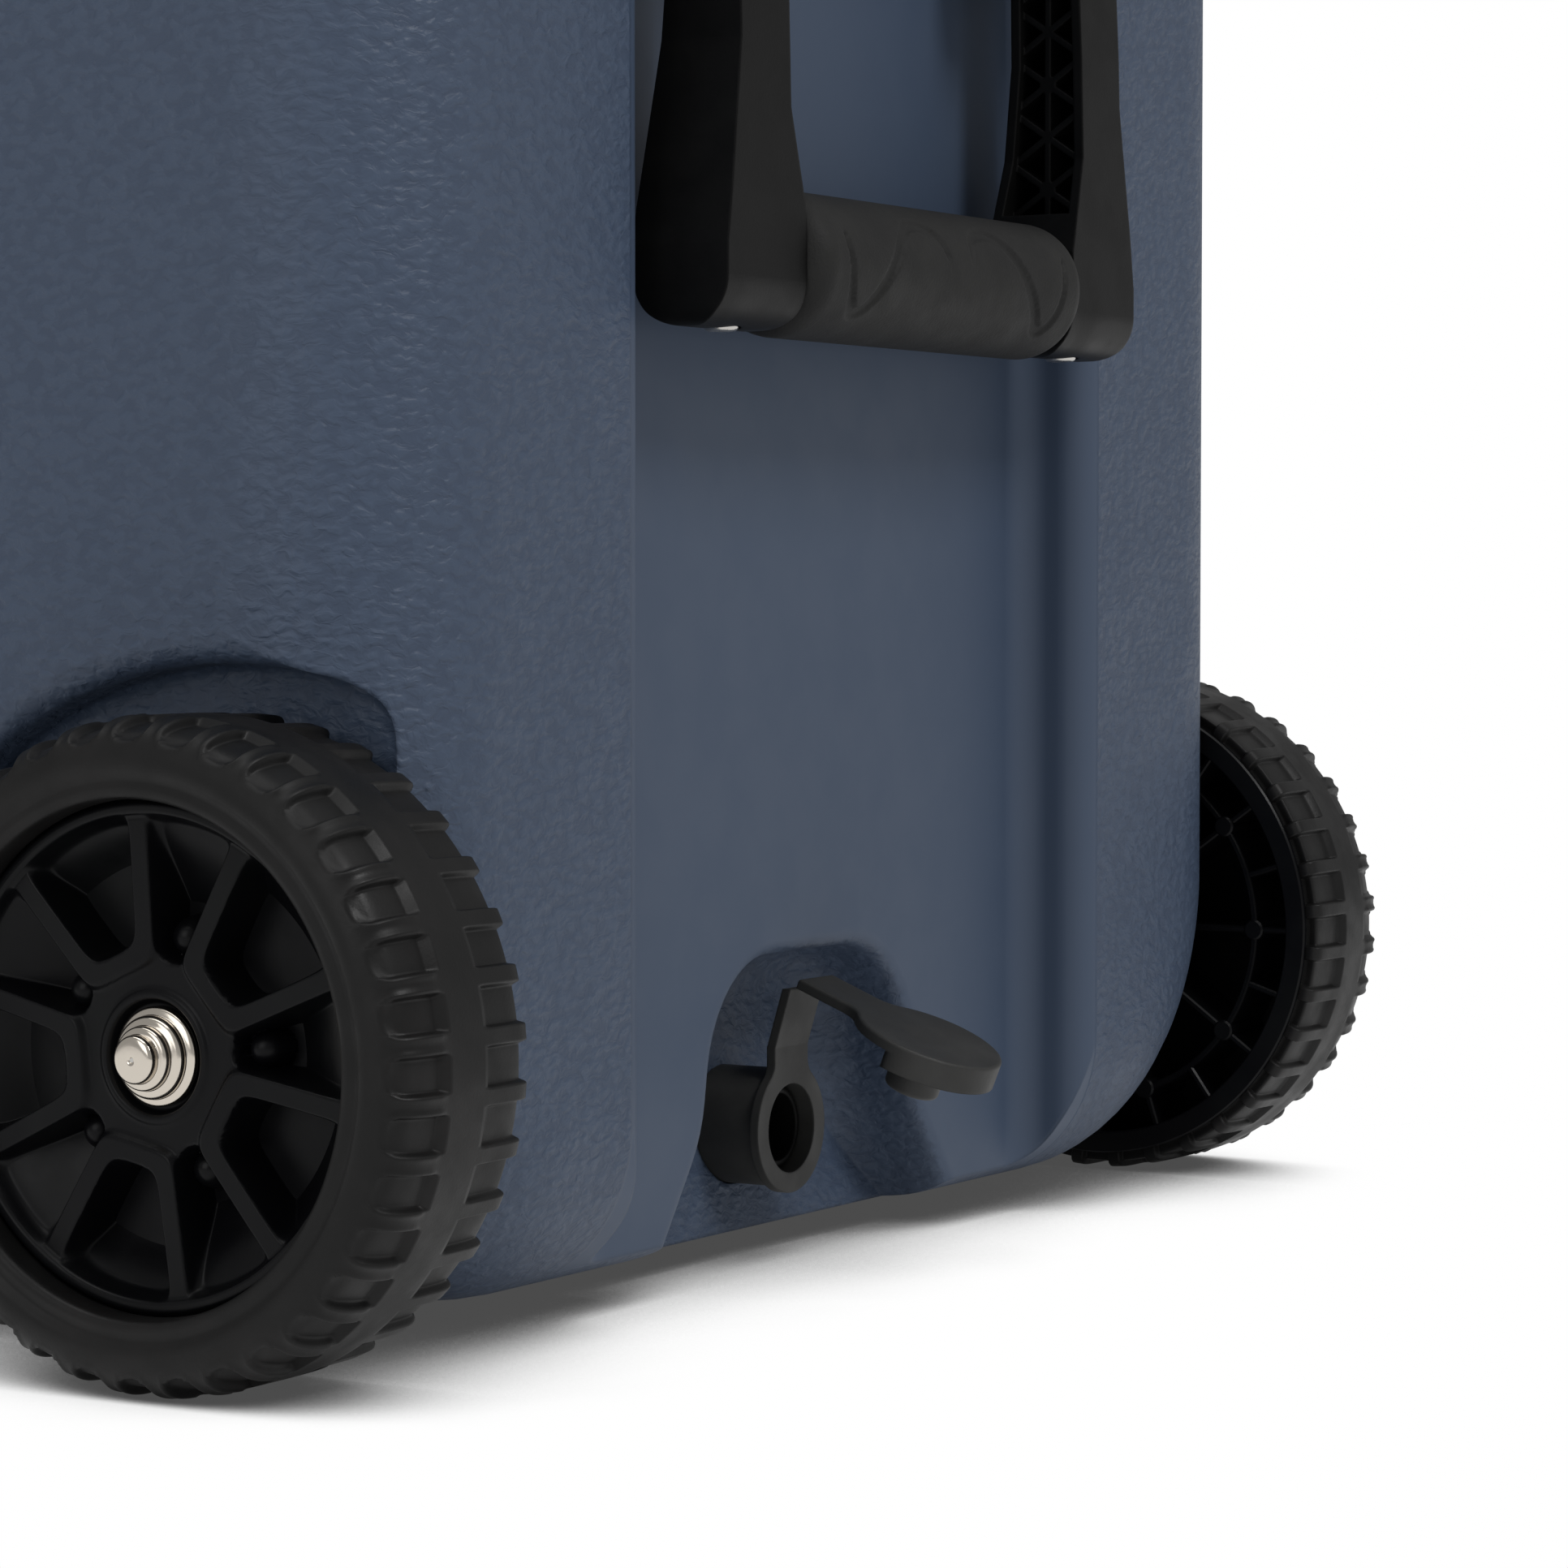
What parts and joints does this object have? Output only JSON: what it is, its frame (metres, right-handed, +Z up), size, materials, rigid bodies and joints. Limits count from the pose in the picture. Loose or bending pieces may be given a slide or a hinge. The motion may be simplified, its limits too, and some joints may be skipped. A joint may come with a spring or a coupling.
{
  "type": "wheeled cooler",
  "caption": "Insulated family cooler box with hinged lid, wheels at one end, swinging bail handles and a capped drain.",
  "frame": {"origin": "on the ground under the middle of the whole object's box, with wheels and feet on the ground", "axes": "+X towards the wheel end, +Y towards the lid's hinge side, +Z up"},
  "size_m": [0.7511, 0.4792, 0.445],
  "materials": {
    "body_plastic": "satin",
    "liner_plastic": "satin",
    "foam": "matte",
    "handle_plastic": "satin",
    "grip_rubber": "matte",
    "wheel_plastic": "satin",
    "tyre_rubber": "matte",
    "steel": "polished",
    "plated_metal": "polished",
    "drain_rubber": "matte",
    "seal_rubber": "matte"
  },
  "bodies": {
    "base": {"base_shell": "body_plastic", "base_foam": "foam", "inner_liner": "liner_plastic", "hinge_box_leaves": "handle_plastic", "hinge_pins": "steel", "hinge_box_screws": "steel", "wheel_axles": "steel", "wheel_spacers": "handle_plastic", "wheel_push_caps": "plated_metal", "drain_tube": "handle_plastic", "drain_boot": "drain_rubber", "left_foot": "seal_rubber", "right_foot": "seal_rubber", "foot_screws": "steel", "end_handle_left_bracket": "handle_plastic", "end_handle_right_bracket": "handle_plastic", "end_handle_pivot_pins": "steel", "end_handle_bracket_screws": "steel", "tow_handle_left_bracket": "handle_plastic", "tow_handle_right_bracket": "handle_plastic", "tow_handle_pivot_pins": "steel", "tow_handle_bracket_screws": "steel"},
    "lid": {"lid_shell": "body_plastic", "lid_foam": "foam", "lid_liner": "liner_plastic", "lid_gasket": "seal_rubber", "hinge_lid_leaves": "handle_plastic", "hinge_lid_screws": "steel"},
    "left_wheel": {"left_wheel_tyre": "tyre_rubber", "left_wheel_hub": "wheel_plastic"},
    "right_wheel": {"right_wheel_tyre": "tyre_rubber", "right_wheel_hub": "wheel_plastic"},
    "end_handle": {"end_handle_left_arm": "handle_plastic", "end_handle_right_arm": "handle_plastic", "end_handle_grip_core": "handle_plastic", "end_handle_grip": "grip_rubber", "end_handle_grip_screws": "steel"},
    "tow_handle": {"tow_handle_left_arm": "handle_plastic", "tow_handle_right_arm": "handle_plastic", "tow_handle_grip_core": "handle_plastic", "tow_handle_grip": "grip_rubber", "tow_handle_grip_screws": "steel"},
    "drain_cap": {"drain_cap": "drain_rubber"}
  },
  "joints": [
    {"name": "lid_hinge", "type": "hinge", "parent": "base", "child": "lid", "pos_m": [0, 0.216, 0.3855], "axis": [-1, 0, 0], "range_deg": [0, 95]},
    {"name": "left_wheel_spin", "type": "hinge", "parent": "base", "child": "left_wheel", "pos_m": [0.305, -0.2165, 0.07], "axis": [0, 1, 0], "continuous": true},
    {"name": "right_wheel_spin", "type": "hinge", "parent": "base", "child": "right_wheel", "pos_m": [0.305, 0.2165, 0.07], "axis": [0, 1, 0], "continuous": true},
    {"name": "end_handle_swing", "type": "hinge", "parent": "base", "child": "end_handle", "pos_m": [0.351, 0, 0.335], "axis": [0, -1, 0], "range_deg": [-3, 120]},
    {"name": "tow_handle_swing", "type": "hinge", "parent": "base", "child": "tow_handle", "pos_m": [-0.358, 0, 0.335], "axis": [0, 1, 0], "range_deg": [-1, 100]},
    {"name": "drain_cap_fold", "type": "hinge", "parent": "base", "child": "drain_cap", "pos_m": [0.325, 0, 0.0685], "axis": [0, 1, 0], "range_deg": [-50, 68], "stiffness_Nm_per_rad": 0.05}
  ]
}
